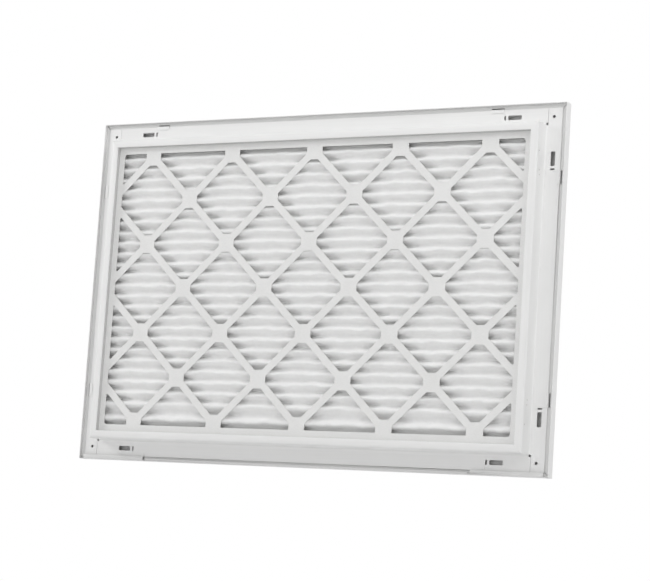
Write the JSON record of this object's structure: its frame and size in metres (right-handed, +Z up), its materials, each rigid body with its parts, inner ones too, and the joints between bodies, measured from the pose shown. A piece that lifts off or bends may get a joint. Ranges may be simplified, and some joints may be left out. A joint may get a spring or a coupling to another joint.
{
  "type": "return air filter grille",
  "caption": "Rectangular wall return grille: flanged steel frame with a neck that holds a flat pleated card-framed filter, behind a top-hinged louvered door with quarter-turn latches.",
  "frame": {"origin": "centre of the duct opening, in the plane of the flange's back face", "axes": "+X right seen from the duct side, along the long side; +Y out of the wall into the room; +Z up"},
  "size_m": [0.6984, 0.0398, 0.47],
  "materials": {
    "white_steel": "smooth semi-gloss white powder coat on sheet steel",
    "zinc_steel": "plain zinc-plated steel",
    "white_card": "die-cut white board, matt",
    "filter_fibre": "soft white non-woven fibre sheet, pleated"
  },
  "bodies": {
    "frame": {"end_rail_bottom": "white_steel", "end_rail_top": "white_steel", "filter_back_frame": "white_card", "filter_clip_bottom_left": "zinc_steel", "filter_clip_bottom_right": "zinc_steel", "filter_clip_top_left": "zinc_steel", "filter_clip_top_right": "zinc_steel", "filter_front_frame": "white_card", "filter_media": "filter_fibre", "hinge_pin_left": "zinc_steel", "hinge_pin_right": "zinc_steel", "side_rail_left": "white_steel", "side_rail_right": "white_steel", "trim_bottom": "white_steel", "trim_left": "white_steel", "trim_right": "white_steel", "trim_top": "white_steel"},
    "door": {"door_rail_bottom": "white_steel", "door_rail_top": "white_steel", "door_stile_left": "white_steel", "door_stile_right": "white_steel", "door_strip_1": "white_steel", "door_strip_2": "white_steel", "door_strip_3": "white_steel", "louver_blade_01": "white_steel", "louver_blade_02": "white_steel", "louver_blade_03": "white_steel", "louver_blade_04": "white_steel", "louver_blade_05": "white_steel", "louver_blade_06": "white_steel", "louver_blade_07": "white_steel", "louver_blade_08": "white_steel", "louver_blade_09": "white_steel", "louver_blade_10": "white_steel", "louver_blade_11": "white_steel", "louver_blade_12": "white_steel", "louver_blade_13": "white_steel", "louver_blade_14": "white_steel", "louver_blade_15": "white_steel", "louver_blade_16": "white_steel", "louver_blade_17": "white_steel", "louver_blade_18": "white_steel", "louver_blade_19": "white_steel", "louver_blade_20": "white_steel", "louver_blade_21": "white_steel", "louver_blade_22": "white_steel", "louver_blade_23": "white_steel", "louver_blade_24": "white_steel", "louver_blade_25": "white_steel", "louver_blade_26": "white_steel", "louver_blade_27": "white_steel"},
    "latch_left": {"latch_cam_left": "zinc_steel", "latch_knob_left": "white_steel"},
    "latch_right": {"latch_cam_right": "zinc_steel", "latch_knob_right": "white_steel"}
  },
  "joints": [
    {"name": "door_hinge", "type": "hinge", "parent": "frame", "child": "door", "pos_m": [0, 0.0077, 0.2182], "axis": [1, 0, 0], "range_deg": [0, 100]},
    {"name": "latch_left_turn", "type": "hinge", "parent": "door", "child": "latch_left", "pos_m": [-0.1708, 0.0033, -0.2098], "axis": [0, 1, 0], "range_deg": [0, 90]},
    {"name": "latch_right_turn", "type": "hinge", "parent": "door", "child": "latch_right", "pos_m": [0.1708, 0.0033, -0.2098], "axis": [0, -1, 0], "range_deg": [0, 90]}
  ]
}
